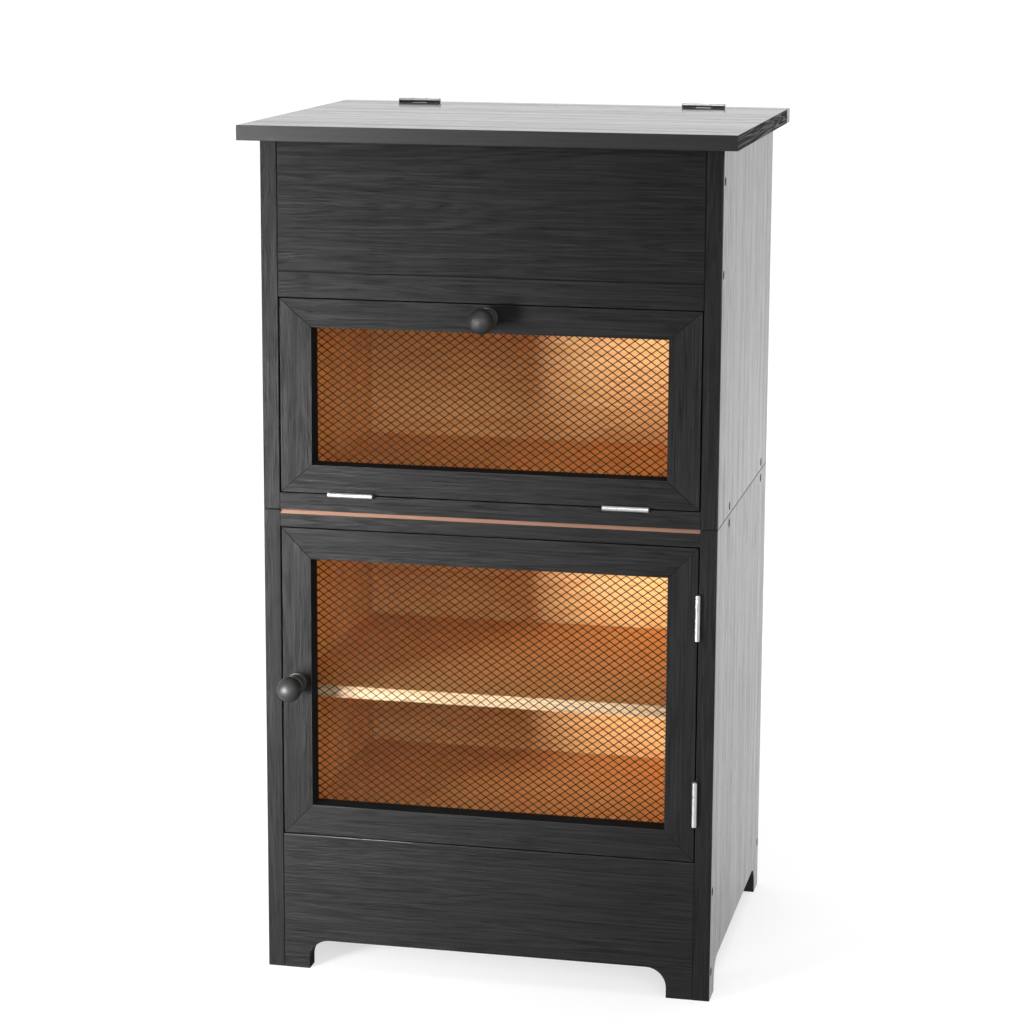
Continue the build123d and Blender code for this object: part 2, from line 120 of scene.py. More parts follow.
def finished(name, mesh, node, *finishes):
    """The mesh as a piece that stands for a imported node, with one or more finishes."""
    piece = bpy.data.objects.new(name, mesh)
    bpy.context.scene.collection.objects.link(piece)
    for finish in finishes:
        mesh.materials.append(finish)
    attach(piece, nodes[node]["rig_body"])
    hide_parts(node)
    return piece


# %% [markdown]
# ## Colours and nodes
# Paint charts and screens give colours as sRGB hex values, and shaders work in linear light,
# so one function turns the one into the other. One more adds a node with its settings, values
# and links, which keeps each finish readable as a list of what it is made from.

# %% Colours and nodes


def linear(code):
    """Linear RGBA of an sRGB hex colour."""
    parts = [int(code[i:i + 2], 16) / 255 for i in (1, 3, 5)]
    return (*[c / 12.92 if c <= 0.04045 else ((c + 0.055) / 1.055) ** 2.4 for c in parts], 1)


def add(tree, kind, sockets=(), **settings):
    """A new node with its settings, and each socket given a value or a link."""
    node = tree.nodes.new(kind)
    for name, value in settings.items():
        setattr(node, name, value)
    for name, value in dict(sockets).items():
        if isinstance(value, bpy.types.NodeSocket):
            tree.links.new(value, node.inputs[name])
        else:
            node.inputs[name].default_value = value
    return node


def finish_tree(name):
    """A new material and its emptied node tree."""
    material = bpy.data.materials.new(name)
    material.use_nodes = True
    material.node_tree.nodes.clear()
    return material, material.node_tree


print("a mid grey, #808080, in linear light:", [round(c, 4) for c in linear("#808080")])

# %% [markdown]
# ## The figure of wood
# Foil and veneer both show growth rings, fibres and pores. Rings on a sawn face are the level
# lines of a slowly changing height, so a long stretched noise is folded into waves: where its
# level lines close, the arches of a cathedral figure appear. Fibres are a finer noise, and
# pores are short dashes. All three read coordinates that each board carries on its mesh, in
# millimetres along and across its own grain, so a rail and a stile differ as they do in wood.

# %% Wood figure


def wood_figure(tree, ring_mm, pore_mm):
    """Sockets for rings, fibres and pores, each from 0 to 1."""
    grain = add(tree, "ShaderNodeAttribute", attribute_name="grain").outputs["Vector"]

    def stretched(along, across):
        scale = (1 / along, 1 / across, 1 / across)
        moved = add(tree, "ShaderNodeVectorMath", {0: grain, 1: scale}, operation="MULTIPLY")
        return moved.outputs[0]

    slow = add(tree, "ShaderNodeTexNoise", {
        "Vector": stretched(420, 8 * ring_mm), "Scale": 1.0, "Detail": 2.0,
        "Roughness": 0.35, "Distortion": 0.35})
    level = add(tree, "ShaderNodeMath", {0: slow.outputs["Fac"], 1: 100.0}, operation="MULTIPLY")
    wave = add(tree, "ShaderNodeMath", {0: level.outputs[0]}, operation="SINE")
    rings = add(tree, "ShaderNodeMapRange", {
        "Value": wave.outputs[0], "From Min": -0.2, "From Max": 1.0},
        interpolation_type="SMOOTHSTEP")
    fibres = add(tree, "ShaderNodeTexNoise", {
        "Vector": stretched(90, 1.1), "Scale": 1.0, "Detail": 4.0, "Roughness": 0.65})
    dashes = add(tree, "ShaderNodeTexNoise", {
        "Vector": stretched(30 * pore_mm, 1.1 * pore_mm), "Scale": 1.0, "Detail": 1.0})
    pores = add(tree, "ShaderNodeMapRange", {
        "Value": dashes.outputs["Fac"], "From Min": 0.58, "From Max": 0.7})
    return rings.outputs[0], fibres.outputs["Fac"], pores.outputs[0]


print("figure of wood: rings, fibres and pores from each board's own grain")

# %% [markdown]
# ## Black wood-grain foil
# The boards are fibreboard wrapped in PVC foil, printed and embossed with a coarse grain under
# a thin lacquer. It is nearly black seen straight on and turns pale at a grazing angle, which
# the shader gives by itself: a weak base gloss, and a level coat for the lacquer, thinner over
# the pores. The embossing is most of what the eye reads, so rings and pores go into the bump
# as well as the colour, and bands a finger wide change the gloss and the lacquer. Handled
# arrises are a little paler, which the bevelled faces say through an attribute.

# %% Black foil
black_foil, tree = finish_tree("black_wood_grain_foil")
rings, fibres, pores = wood_figure(tree, 2.4, 0.7)
grain = add(tree, "ShaderNodeAttribute", attribute_name="grain")
banded = add(tree, "ShaderNodeVectorMath", {
    0: grain.outputs["Vector"], 1: (1 / 700, 1 / 15, 1 / 15)}, operation="MULTIPLY")
bands = add(tree, "ShaderNodeTexNoise", {
    "Vector": banded.outputs[0], "Scale": 1.0, "Detail": 3.0})
arris = add(tree, "ShaderNodeAttribute", attribute_name="arris")
worn = add(tree, "ShaderNodeMath", {0: arris.outputs["Fac"], 1: fibres}, operation="MULTIPLY")
tone = add(tree, "ShaderNodeMath", {
    0: fibres, 1: 2.2, 2: -0.6}, operation="MULTIPLY_ADD", use_clamp=True)
lines = add(tree, "ShaderNodeMath", {0: rings, 1: 0.4}, operation="MULTIPLY")
sunk = add(tree, "ShaderNodeMath", {
    0: pores, 1: 0.6, 2: lines.outputs[0]}, operation="MULTIPLY_ADD")
printed = add(tree, "ShaderNodeMix", {
    0: tone.outputs[0], 6: linear("#030303"), 7: linear("#1e1e1e")}, data_type="RGBA")
lined = add(tree, "ShaderNodeMix", {
    0: sunk.outputs[0], 6: printed.outputs[2], 7: linear("#040404")}, data_type="RGBA")
colour = add(tree, "ShaderNodeMix", {
    0: worn.outputs[0], 6: lined.outputs[2], 7: linear("#343434")}, data_type="RGBA")
satin = add(tree, "ShaderNodeMapRange", {
    "Value": bands.outputs["Fac"], "From Min": 0.3, "From Max": 0.7, "To Min": 0.4, "To Max": 0.5})
gloss = add(tree, "ShaderNodeMath", {
    0: sunk.outputs[0], 1: 0.25, 2: satin.outputs[0]}, operation="MULTIPLY_ADD")
relief = add(tree, "ShaderNodeMath", {
    0: sunk.outputs[0], 1: -0.9, 2: tone.outputs[0]}, operation="MULTIPLY_ADD")
waves = add(tree, "ShaderNodeMath", {
    0: bands.outputs["Fac"], 1: 2.0, 2: relief.outputs[0]}, operation="MULTIPLY_ADD")
filled = add(tree, "ShaderNodeMapRange", {
    "Value": waves.outputs[0], "From Min": 0.5, "From Max": 1.7, "To Min": 0.6, "To Max": 1.0})
embossed = add(tree, "ShaderNodeBump", {
    "Strength": 1.0, "Distance": 0.0002, "Height": waves.outputs[0]})
shader = add(tree, "ShaderNodeBsdfPrincipled", {
    "Base Color": colour.outputs[2], "Roughness": gloss.outputs[0], "IOR": 1.5,
    "Specular IOR Level": 0.09, "Coat Weight": filled.outputs[0], "Coat Roughness": 0.08,
    "Coat IOR": 1.21, "Normal": embossed.outputs[0]})
add(tree, "ShaderNodeOutputMaterial", {"Surface": shader.outputs[0]})
print("black foil: roughness 0.40 to 0.50, duller in the pores, embossed 0.2 mm deep")

# %% [markdown]
# ## Light wood inside
# The inner faces and the shelf are bare, warm light wood, sanded and sealed thinly. It scatters
# light well, so the inside of each compartment glows. The same figure serves, with wider rings
# and pale brown pores, and the colour runs between two honeys. The shelf's front edge is sanded
# and creamier, and the one arris left bare shows the brown of the board's core.

# %% Light wood, its sanded edge and its bare arris
light_wood, tree = finish_tree("sealed_light_wood")
rings, fibres, pores = wood_figure(tree, 6.5, 0.7)
tone = add(tree, "ShaderNodeMath", {0: rings, 1: 0.5, 2: 0.1}, operation="MULTIPLY_ADD")
tone = add(tree, "ShaderNodeMath", {
    0: fibres, 1: 0.45, 2: tone.outputs[0]}, operation="MULTIPLY_ADD")
honey = add(tree, "ShaderNodeMix", {
    0: tone.outputs[0], 6: linear("#e8ba76"), 7: linear("#dca057")}, data_type="RGBA")
colour = add(tree, "ShaderNodeMix", {
    0: pores, 6: honey.outputs[2], 7: linear("#c88a4a")}, data_type="RGBA")
sanded = add(tree, "ShaderNodeBump", {
    "Strength": 0.25, "Distance": 0.00008, "Height": tone.outputs[0]})
shader = add(tree, "ShaderNodeBsdfPrincipled", {
    "Base Color": colour.outputs[2], "Roughness": 0.55, "IOR": 1.5, "Normal": sanded.outputs[0]})
add(tree, "ShaderNodeOutputMaterial", {"Surface": shader.outputs[0]})

cream_edge, tree = finish_tree("sanded_cream_edge")
rings, _, _ = wood_figure(tree, 3.0, 0.6)
colour = add(tree, "ShaderNodeMix", {
    0: rings, 6: linear("#c2a680"), 7: linear("#b48f68")}, data_type="RGBA")
shader = add(tree, "ShaderNodeBsdfPrincipled", {
    "Base Color": colour.outputs[2], "Roughness": 0.6, "IOR": 1.5})
add(tree, "ShaderNodeOutputMaterial", {"Surface": shader.outputs[0]})

bare_arris, tree = finish_tree("bare_cut_board")
_, fibres, _ = wood_figure(tree, 2.0, 0.6)
colour = add(tree, "ShaderNodeMix", {
    0: fibres, 6: linear("#8e6a56"), 7: linear("#644536")}, data_type="RGBA")
shader = add(tree, "ShaderNodeBsdfPrincipled", {
    "Base Color": colour.outputs[2], "Roughness": 0.75, "IOR": 1.5})
add(tree, "ShaderNodeOutputMaterial", {"Surface": shader.outputs[0]})
print("light wood: honey, roughness 0.55; shelf edge cream; bare arris brown")

# %% [markdown]
# ## Painted raw edge, and painted joint shade
# The door members are cut from foiled board, so round the window the fibreboard's edge is brushed
# black. Paint on raw fibre dries in small crumbs about a millimetre across, duller than the foil.
# The same dark, dull finish on the doors' outer edges and in their mitres, on the ends of the front
# boards with the faces they butt on, and at the joint between the modules is painted shade: it
# stands for the shade in those joints and gaps.

# %% Painted raw edge and painted joint shade
raw_edge_and_joint_shade, tree = finish_tree("raw_edge_and_painted_joint_shade")
where = add(tree, "ShaderNodeTexCoord")
crumbs = add(tree, "ShaderNodeTexNoise", {
    "Vector": where.outputs["Object"], "Scale": 1000 / 1.4, "Detail": 3.0, "Roughness": 0.7})
colour = add(tree, "ShaderNodeMix", {
    0: crumbs.outputs["Fac"], 6: linear("#030303"), 7: linear("#101113")}, data_type="RGBA")
crumbly = add(tree, "ShaderNodeBump", {
    "Strength": 0.7, "Distance": 0.0004, "Height": crumbs.outputs["Fac"]})
shader = add(tree, "ShaderNodeBsdfPrincipled", {
    "Base Color": colour.outputs[2], "Roughness": 0.95, "IOR": 1.25, "Normal": crumbly.outputs[0]})
add(tree, "ShaderNodeOutputMaterial", {"Surface": shader.outputs[0]})
print("painted raw edge: crumbs 1.4 mm across")

# %% [markdown]
# ## Edge bands
# The lid's two ends are closed with a glued band printed with a bold, crowded figure, as if the
# board had been sawn across. It has no lacquer, so it stays dark where the foil beside it turns
# pale. The lid's front edge has a plainer band of straight grain, painted a little greyer than the
# foil as painted light, for the brighter light that edge catches.

# %% Edge bands
end_band, tree = finish_tree("printed_end_band")
rings, fibres, _ = wood_figure(tree, 1.2, 0.9)
flecked = add(tree, "ShaderNodeMath", {0: rings, 1: fibres}, operation="MULTIPLY")
colour = add(tree, "ShaderNodeMix", {
    0: flecked.outputs[0], 6: linear("#161616"), 7: linear("#9a9a9a")}, data_type="RGBA")
shader = add(tree, "ShaderNodeBsdfPrincipled", {
    "Base Color": colour.outputs[2], "Roughness": 0.95, "IOR": 1.3})
add(tree, "ShaderNodeOutputMaterial", {"Surface": shader.outputs[0]})

front_band_painted_light, tree = finish_tree("front_band_with_painted_light")
_, fibres, _ = wood_figure(tree, 2.4, 0.7)
# Painted light: these greys are lighter than the foil's print, for the brighter light on the lid's
# front edge.
colour = add(tree, "ShaderNodeMix", {
    0: fibres, 6: linear("#0a0a0a"), 7: linear("#2a2a2a")}, data_type="RGBA")
shader = add(tree, "ShaderNodeBsdfPrincipled", {
    "Base Color": colour.outputs[2], "Roughness": 0.45, "IOR": 1.5, "Specular IOR Level": 0.18})
add(tree, "ShaderNodeOutputMaterial", {"Surface": shader.outputs[0]})
print("end band: dull, closely figured; front band: satin, straight grain")

# %% [markdown]
# ## Metals, wire, lacquer and plastic
# The hinges are zinc-plated steel, bright with a faint cloudiness. Screws are black phosphated
# steel. The mesh is steel wire under black powder coat, which is slightly pebbled. The knobs
# are beech turned on a lathe and lacquered black. Catch housings are moulded ABS, their magnets
# sintered ferrite, and the dowels plain beech.

# %% Hardware finishes


def mottled(name, shades, size_mm, roughness, bump_mm=0.0, **shader):
    """A finish whose colour and gloss drift over patches of this size."""
    material, tree = finish_tree(name)
    where = add(tree, "ShaderNodeTexCoord")
    cloud = add(tree, "ShaderNodeTexNoise", {
        "Vector": where.outputs["Object"], "Scale": 1000 / size_mm, "Detail": 3.0})
    colour = add(tree, "ShaderNodeMix", {
        0: cloud.outputs["Fac"], 6: linear(shades[0]), 7: linear(shades[1])}, data_type="RGBA")
    gloss = add(tree, "ShaderNodeMapRange", {
        "Value": cloud.outputs["Fac"], "From Min": 0.3, "From Max": 0.7,
        "To Min": roughness[0], "To Max": roughness[1]})
    sockets = {"Base Color": colour.outputs[2], "Roughness": gloss.outputs[0], **shader}
    if bump_mm:
        sockets["Normal"] = add(tree, "ShaderNodeBump", {
            "Strength": 0.5, "Distance": bump_mm / 1000,
            "Height": cloud.outputs["Fac"]}).outputs[0]
    shader = add(tree, "ShaderNodeBsdfPrincipled", sockets)
    add(tree, "ShaderNodeOutputMaterial", {"Surface": shader.outputs[0]})
    return material


zinc = mottled("zinc_plated_steel", ("#c9c8ca", "#bdbdc0"), 9.0, (0.28, 0.34), Metallic=1.0)
phosphated = mottled("black_phosphated_steel", ("#161617", "#0b0b0c"), 1.5, (0.85, 1.0), IOR=1.3)
powder_coat = mottled(
    "black_powder_coated_wire", ("#040404", "#0a0a0a"), 0.8, (0.6, 0.75), 0.02, IOR=1.25)
lacquer = mottled(
    "black_lacquered_beech", ("#040404", "#080808"), 6.0, (0.52, 0.58), 0.01, IOR=1.55)
moulded = mottled("moulded_abs", ("#e6e3dc", "#dcd8cf"), 2.0, (0.42, 0.5), 0.02, IOR=1.54)
ferrite = mottled("sintered_ferrite", ("#2f2f31", "#3c3c3f"), 1.0, (0.5, 0.7), 0.03, IOR=1.6)
peg_wood = mottled("beech_dowel", ("#dcb989", "#cda372"), 2.5, (0.6, 0.7), 0.05, IOR=1.5)
print("seven hardware finishes made")

# %% [markdown]
# ## Boards
# Each board keeps its imported shape. Its long outer arrises are rounded by about half a
# millimetre, as a wrapped board's are, because a dead sharp edge never catches light. Small
# seats for screws are left alone. Then every face is given its finish, and last, each corner of
# the mesh gets its place in the board's grain.

# %% Rounding arrises
# The lined space starts 30 mm behind the front; the black foil in front of it is painted shade for
# the gaps round the doors.
ROOM = ((-INNER_X, 30.0, 125.0), (INNER_X, BACK_Y, CARCASS_H))  # the lined space, both corners
ARCH_TOP, FOOT = 27.1, 23.0  # height of the arches, and width of the feet beside them
LONG_ARRIS = 12.0  # shorter edges belong to the seats of screws and hinges
FOIL, WOOD, SPECIAL, PAINTED_LIGHT_BAND = 0, 1, 2, 3


def carcass_mm(point):
    """A point of the frame in the maker's millimetres."""
    return Vector((point.x * 1000, point.y * 1000 - FRONT, point.z * 1000))


def eased(node, ease_mm):
    """The node's shape with its long outer arrises rounded; the new faces are marked."""
    shape = bmesh.new()
    shape.from_mesh(nodes[node].data)
    bmesh.ops.remove_doubles(shape, verts=shape.verts, dist=1e-6)
    bmesh.ops.dissolve_limit(
        shape, angle_limit=math.radians(1), verts=shape.verts, edges=shape.edges)
    low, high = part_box(node)
    low, high = carcass_mm(low), carcass_mm(high)

    def outer(edge):
        """A long arris, or one of the short runs round an arched cut-out."""
        if len(edge.link_faces) != 2 or not edge.is_convex:
            return False
        if edge.calc_face_angle() < math.radians(50):
            return False
        if edge.calc_length() > LONG_ARRIS / 1000:
            return True
        ends = [carcass_mm(vert.co) for vert in edge.verts]
        run = X if high.x - low.x > high.y - low.y else Y
        return low.z < 1 and all(
            p.z < ARCH_TOP and low[run] + FOOT < p[run] < high[run] - FOOT for p in ends)

    mark = shape.faces.layers.float.new("arris")
    arrises = [edge for edge in shape.edges if outer(edge)]
    made = bmesh.ops.bevel(
        shape, geom=arrises, offset=ease_mm / 1000, offset_type="OFFSET", segments=2,
        profile=0.5, affect="EDGES", clamp_overlap=True)
    for face in made["faces"]:
        if face.is_valid:
            face[mark] = 1.0
    return shape


def as_mesh(shape, name):
    """The worked shape as a new mesh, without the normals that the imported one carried."""
    mesh = bpy.data.meshes.new(name)
    shape.to_mesh(mesh)
    shape.free()
    packed_normals = mesh.attributes.get("custom_normal")
    if packed_normals:
        mesh.attributes.remove(packed_normals)
    return mesh


def split(shape, axis, place_mm):
    """Cuts the faces along a plane, so that a finish can stop there."""
    point = Vector((0, 0, 0))
    point[axis] = (place_mm + (FRONT if axis == Y else 0)) / 1000
    normal = Vector((0, 0, 0))
    normal[axis] = 1
    parts = list(shape.verts) + list(shape.edges) + list(shape.faces)
    bmesh.ops.bisect_plane(shape, geom=parts, plane_co=point, plane_no=normal)


def write_grain(mesh, along, shift):
    """Each face corner's place in the grain, in mm; an end face turns to its longer side."""
    places = [vertex.co.copy() for vertex in mesh.vertices]
    spans = [max(p[a] for p in places) - min(p[a] for p in places) for a in range(3)]
    grain = mesh.attributes.new("grain", "FLOAT_VECTOR", "CORNER")
    for face in mesh.polygons:
        run = along
        if abs(face.normal[along]) > 0.8:
            run = max((a for a in range(3) if a != along), key=lambda a: spans[a])
        across = [a for a in range(3) if a != run]
        for corner in face.loop_indices:
            p = places[mesh.loops[corner].vertex_index] * 1000
            grain.data[corner].vector = (
                p[run] + 613 * shift, p[across[0]] + 271 * shift, p[across[1]] + 97 * shift)


def faced(mesh, choose):
    """Gives each face the finish that choose(centre, normal) names."""
    for face in mesh.polygons:
        face.material_index = choose(carcass_mm(face.center), face.normal)


# %% [markdown]
# The choice of finish follows how such a carcass is made. The boards are foiled on one side, so
# what looks into a compartment is wood, but the first 30 mm behind the front edge are black foil,
# painted shade that keeps the gaps round the doors dark. Door members are painted raw edge round
# their windows; their outer edges and mitres, the ends of the front boards and the joint between
# the modules take the same dark finish as painted shade. The lid has its two bands, the front one
# painted lighter as painted light, and only the lower module's roof has a bare arris along its
# front.

# %% Choosing faces


def looks_in(centre, normal):
    """Wood where the space just off the face is inside a compartment, else foil; the compartment
    starts 30 mm behind the front, so the foil there is painted shade for the door gaps.
    """
    off = centre + normal * 0.8
    inside = all(ROOM[0][a] < off[a] < ROOM[1][a] for a in range(3))
    return WOOD if inside else FOIL


def roof_face(centre, normal):
    """As any lined board, with the sloping front arris left bare."""
    sloping = 0.5 < -normal.y < 0.9 and 0.5 < normal.z < 0.9
    return SPECIAL if sloping and centre.y < 4 else looks_in(centre, normal)


def side_face(centre, normal):
    """As any lined board; where the modules meet and where a front board butts on, the dark edge
    finish is painted shade.
    """
    seam_shade = abs(centre.z - SEAM_Z) < 1 and abs(normal.z) > 0.2
    butt_joint_shade = abs(centre.x) < INNER_X + 5 and centre.y < 1 and abs(normal.x) > 0.2
    return SPECIAL if seam_shade or butt_joint_shade else looks_in(centre, normal)


def shelf_face(centre, normal):
    """Light wood all round, with a cream front edge."""
    return SPECIAL if normal.y < -0.5 else WOOD


def member_face(centre, normal):
    """Foil on the front and back of a door member; painted raw edge round its window, and painted
    shade on its outer edges and in its mitres.
    """
    mitre_shade = abs(normal.x) > 0.2 and abs(normal.z) > 0.2
    return SPECIAL if mitre_shade or abs(normal.y) < 0.3 else FOIL


def front_face(centre, normal):
    """As any lined board, with the ends that meet the side boards in the dark edge finish, as
    painted shade.
    """
    return SPECIAL if abs(normal.x) > 0.2 else looks_in(centre, normal)


def lid_face(centre, normal):
    """Foil, with the figured band on the lid's two ends and the plain one along its front, painted
    lighter as painted light.
    """
    if abs(normal.x) > 0.8:
        return SPECIAL
    return PAINTED_LIGHT_BAND if normal.y < -0.8 else FOIL


def all_foil(centre, normal):
    """Black foil on every face."""
    return FOIL


# %% Making the boards
BOARDS = {  # grain, rounding in mm, what chooses each face's finish, the special finish
    "lower_side_left": (Z, 0.7, side_face, raw_edge_and_joint_shade),
    "lower_side_right": (Z, 0.7, side_face, raw_edge_and_joint_shade),
    "upper_side_left": (Z, 0.7, side_face, raw_edge_and_joint_shade),
    "upper_side_right": (Z, 0.7, side_face, raw_edge_and_joint_shade),
    "apron": (X, 0.5, front_face, raw_edge_and_joint_shade),
    "lower_back_panel": (X, 0.4, looks_in, bare_arris),
    "upper_back_panel": (X, 0.4, looks_in, bare_arris),
    "lower_bottom_board": (X, 0.4, looks_in, bare_arris),
    "upper_bottom_board": (X, 0.4, looks_in, bare_arris),
    "lower_top_board": (X, 0.2, roof_face, bare_arris),
    "bin_floor": (X, 0.2, looks_in, bare_arris),
    "upper_front_panel": (X, 0.4, front_face, raw_edge_and_joint_shade),
    "lid_board": (X, 0.7, lid_face, end_band),
    "lid_hinge_rail": (X, 0.5, all_foil, bare_arris),
    "shelf": (X, 0.6, shelf_face, cream_edge),
}
for door in ("bread_door_", "lower_door_"):
    for member in ("top_rail", "bottom_rail", "left_stile", "right_stile"):
        along = X if member.endswith("rail") else Z
        BOARDS[door + member] = (along, 0.35, member_face, raw_edge_and_joint_shade)

for shift, (node, (along, ease, choose, special)) in enumerate(BOARDS.items()):
    shape = eased(node, ease)
    if choose in (looks_in, roof_face, side_face, front_face):
        split(shape, Y, ROOM[0][Y])
        split(shape, Z, ROOM[0][Z])
    mesh = as_mesh(shape, node + "_board")
    faced(mesh, choose)
    write_grain(mesh, along, shift + 1)
    finishes = [black_foil, light_wood, special]
    if choose == lid_face:
        finishes.append(front_band_painted_light)
    finished(node + "_finished", rounded(mesh, 20), node, *finishes)
print(len(BOARDS), "boards finished")

# %% [markdown]
# ## Turned and cut shapes
# A lathe makes a shape from one profile, so one function sweeps (radius, height) points round
# an axis. Sheet metal is cut to an outline with holes and tumbled, so another fills a flat
# curve, thickens it and eases its edges. Together they make every knob, pin, screw and hinge.

# %% Lathe and sheet


def arc(centre, radius, start, stop, steps=8):
    """Points of an arc in a profile, from start to stop degrees."""
    turns = [math.radians(start + (stop - start) * k / steps) for k in range(steps + 1)]
    return [(centre[0] + radius * math.cos(t), centre[1] + radius * math.sin(t)) for t in turns]


def lathe(profile, sides=32):
    """A turned piece round its own Z from (radius, height) points, closed at both ends."""
    shape = bmesh.new()
    rings = []
    for radius, height in profile:
        turns = [2 * math.pi * k / sides for k in range(sides)]
        places = [(radius * math.cos(t), radius * math.sin(t), height) for t in turns]
        rings.append([shape.verts.new(place) for place in places])
    for low, high in zip(rings, rings[1:]):
        for k in range(sides):
            shape.faces.new((low[k - 1], low[k], high[k], high[k - 1]))
    shape.faces.new(reversed(rings[0]))
    shape.faces.new(rings[-1])
    bmesh.ops.recalc_face_normals(shape, faces=shape.faces)
    mesh = bpy.data.meshes.new("turned")
    shape.to_mesh(mesh)
    shape.free()
    return mesh


def circle(centre, radius, sides=24):
    """Points round a hole or a disc."""
    turns = [2 * math.pi * k / sides for k in range(sides)]
    return [(centre[0] + radius * math.cos(t), centre[1] + radius * math.sin(t)) for t in turns]


def sheet_plate(outlines, thick, ease):
    """Sheet cut to the first outline, with the others as holes, from z = 0 up to its thickness."""
    curve = bpy.data.curves.new("cut", "CURVE")
    curve.dimensions = "2D"
    curve.fill_mode = "BOTH"
    for outline in outlines:
        spline = curve.splines.new("POLY")
        spline.points.add(len(outline) - 1)
        for point, (x, y) in zip(spline.points, outline):
            point.co = (x, y, 0, 1)
        spline.use_cyclic_u = True
    curve.extrude = thick / 2 - ease
    curve.bevel_depth = ease
    curve.bevel_resolution = 1
    curve.offset = -ease
    cutter = bpy.data.objects.new("cut", curve)
    mesh = bpy.data.meshes.new_from_object(cutter)
    mesh.transform(Matrix.Translation((0, 0, thick / 2)))
    bpy.data.objects.remove(cutter)
    return mesh


def bent_wire(paths, radius, sides=3):
    """Round wire along each path of points, as one mesh."""
    curve = bpy.data.curves.new("wire", "CURVE")
    curve.dimensions = "3D"
    for path in paths:
        spline = curve.splines.new("POLY")
        spline.points.add(len(path) - 1)
        for point, place in zip(spline.points, path):
            point.co = (*place, 1)
    curve.bevel_depth = radius
    curve.bevel_resolution = sides
    curve.use_fill_caps = True
    drawn = bpy.data.objects.new("wire", curve)
    mesh = bpy.data.meshes.new_from_object(drawn)
    bpy.data.objects.remove(drawn)
    return mesh


# %% [markdown]
# ## Screws
# A countersunk screw shows only its head: a flat disc with a cross recess. The disc is sheet
# with a cross cut out of it, over a turned cone and shank. On the sides the black screws are
# driven a millimetre below the face, so each shows as a dark dot in its round countersink.

# %% Screws


def cross(size, arm):
    """Outline of a cross recess: size is half its length, arm half the width of an arm."""
    return [(size, -arm), (size, arm), (arm, arm), (arm, size), (-arm, size), (-arm, arm),
            (-size, arm), (-size, -arm), (-arm, -arm), (-arm, -size), (arm, -size), (arm, -arm)]


def screw_parts(length, shank, head, place, sunk=0.0):
    """A countersunk screw down its own -Z; one driven below the face shows its round seat."""
    wide, deep, point = head - sunk, 0.28 * head, 3
    disc = sheet_plate([circle((0, 0), wide), cross(0.66 * wide, 0.17 * wide)], deep, 0.05)
    disc.transform(Matrix.Translation((0, 0, -deep - sunk)))
    cone = [(wide - deep, -deep - sunk), (shank, shank - head)]
    body = lathe(cone + [(shank, -length + point), (0.2, -length)], 20)
    parts = [(disc, place), (body, place)]
    if sunk:
        rim = [(head + 0.25, 0.01), (head + 0.05, 0.01), (wide, -sunk), (wide + 0.2, -sunk)]
        parts.append((lathe(rim, 28), place))
    return parts


CARCASS_SCREW = (40.0, 2.0, 3.6)  # length, radius of the shank, radius of the head
LEAF_SCREW = (12.0, 1.25, 2.25)
FRONT_SCREW_Z, SEAM_SCREW_Y, BACK_SCREW_Z = (714.5, 636.5, 98.0, 25.0), (70.0, 280.0), 45.0
HALF_BOARD = BOARD / 2
spots = [(HALF_BOARD, z) for z in FRONT_SCREW_Z]
spots += [(y, SEAM_Z + dz) for y in SEAM_SCREW_Y for dz in (-HALF_BOARD, HALF_BOARD)]
spots += [(BACK_Y + HALF_BOARD, BACK_SCREW_Z)]
screws = []
for side in (-1, 1):
    for y, z in spots:
        out = at((side * SIDE_X, y, z), (0, 1, 0), (side, 0, 0))
        screws += screw_parts(*CARCASS_SCREW, out, sunk=1.0)
mesh = rounded(assembled("carcass_screw_row", screws))
finished("carcass_screw_heads", mesh, "carcass_screws", phosphated)
print("carcass screws:", len(screws) // 3)

# %% [markdown]
# ## Butt hinges
# Six small butt hinges are let into shallow seats. Each has a plate with three knuckles shared
# between its two leaves, a pin with domed ends, and four screws. The barrel is what shows: a
# bright line on the seam. Leaves are cut from sheet with a notch for the other leaf's
# knuckles, and the knuckles are turned with eased ends so that their joints read as lines.

# %% Hinges
HINGE_HALF, LEAF_WIDE, LEAF_T, KNUCKLE, PLAY, BARREL = 20.0, 14.0, 1.0, 7.0, 0.15, 2.4
NOTCH = BARREL + 2 * PLAY
SCREW_X, SCREW_Y, FACE_GAP = 12, 8.0, 0.1  # the screws on a leaf; from its face to the axis
LID_AXIS, LID_HINGE_X = (307.4, 757.5), 136  # y and z of the axis
BREAD_AXIS, BREAD_HINGE_X = (-2.5, 435.6), 121
LOWER_AXIS, LOWER_HINGE_Z = (184.4, -2.5), {"top": 343.5, "bottom": 178.5}  # x and y
HINGES = {}
for name, side in (("left", -1), ("right", 1)):
    HINGES["lid_hinge_" + name] = at((side * LID_HINGE_X, *LID_AXIS), (-1, 0, 0), (0, -1, 0))
    HINGES["bread_hinge_" + name] = at((side * BREAD_HINGE_X, *BREAD_AXIS))
for name, z in LOWER_HINGE_Z.items():
    HINGES["lower_hinge_" + name] = at((*LOWER_AXIS, z), (0, 0, 1), (-1, 0, 0))
TURN_TO_X = Matrix.Rotation(math.pi / 2, 4, "Y")


def knuckle(start, stop):
    """A length of barrel on the hinge's axis, its own X, with eased ends."""
    ease = 0.18
    outline = [(BARREL - ease, start), (BARREL, start + ease)]
    outline += [(BARREL, stop - ease), (BARREL - ease, stop)]
    mesh = lathe(outline, 32)
    mesh.transform(TURN_TO_X)
    return mesh


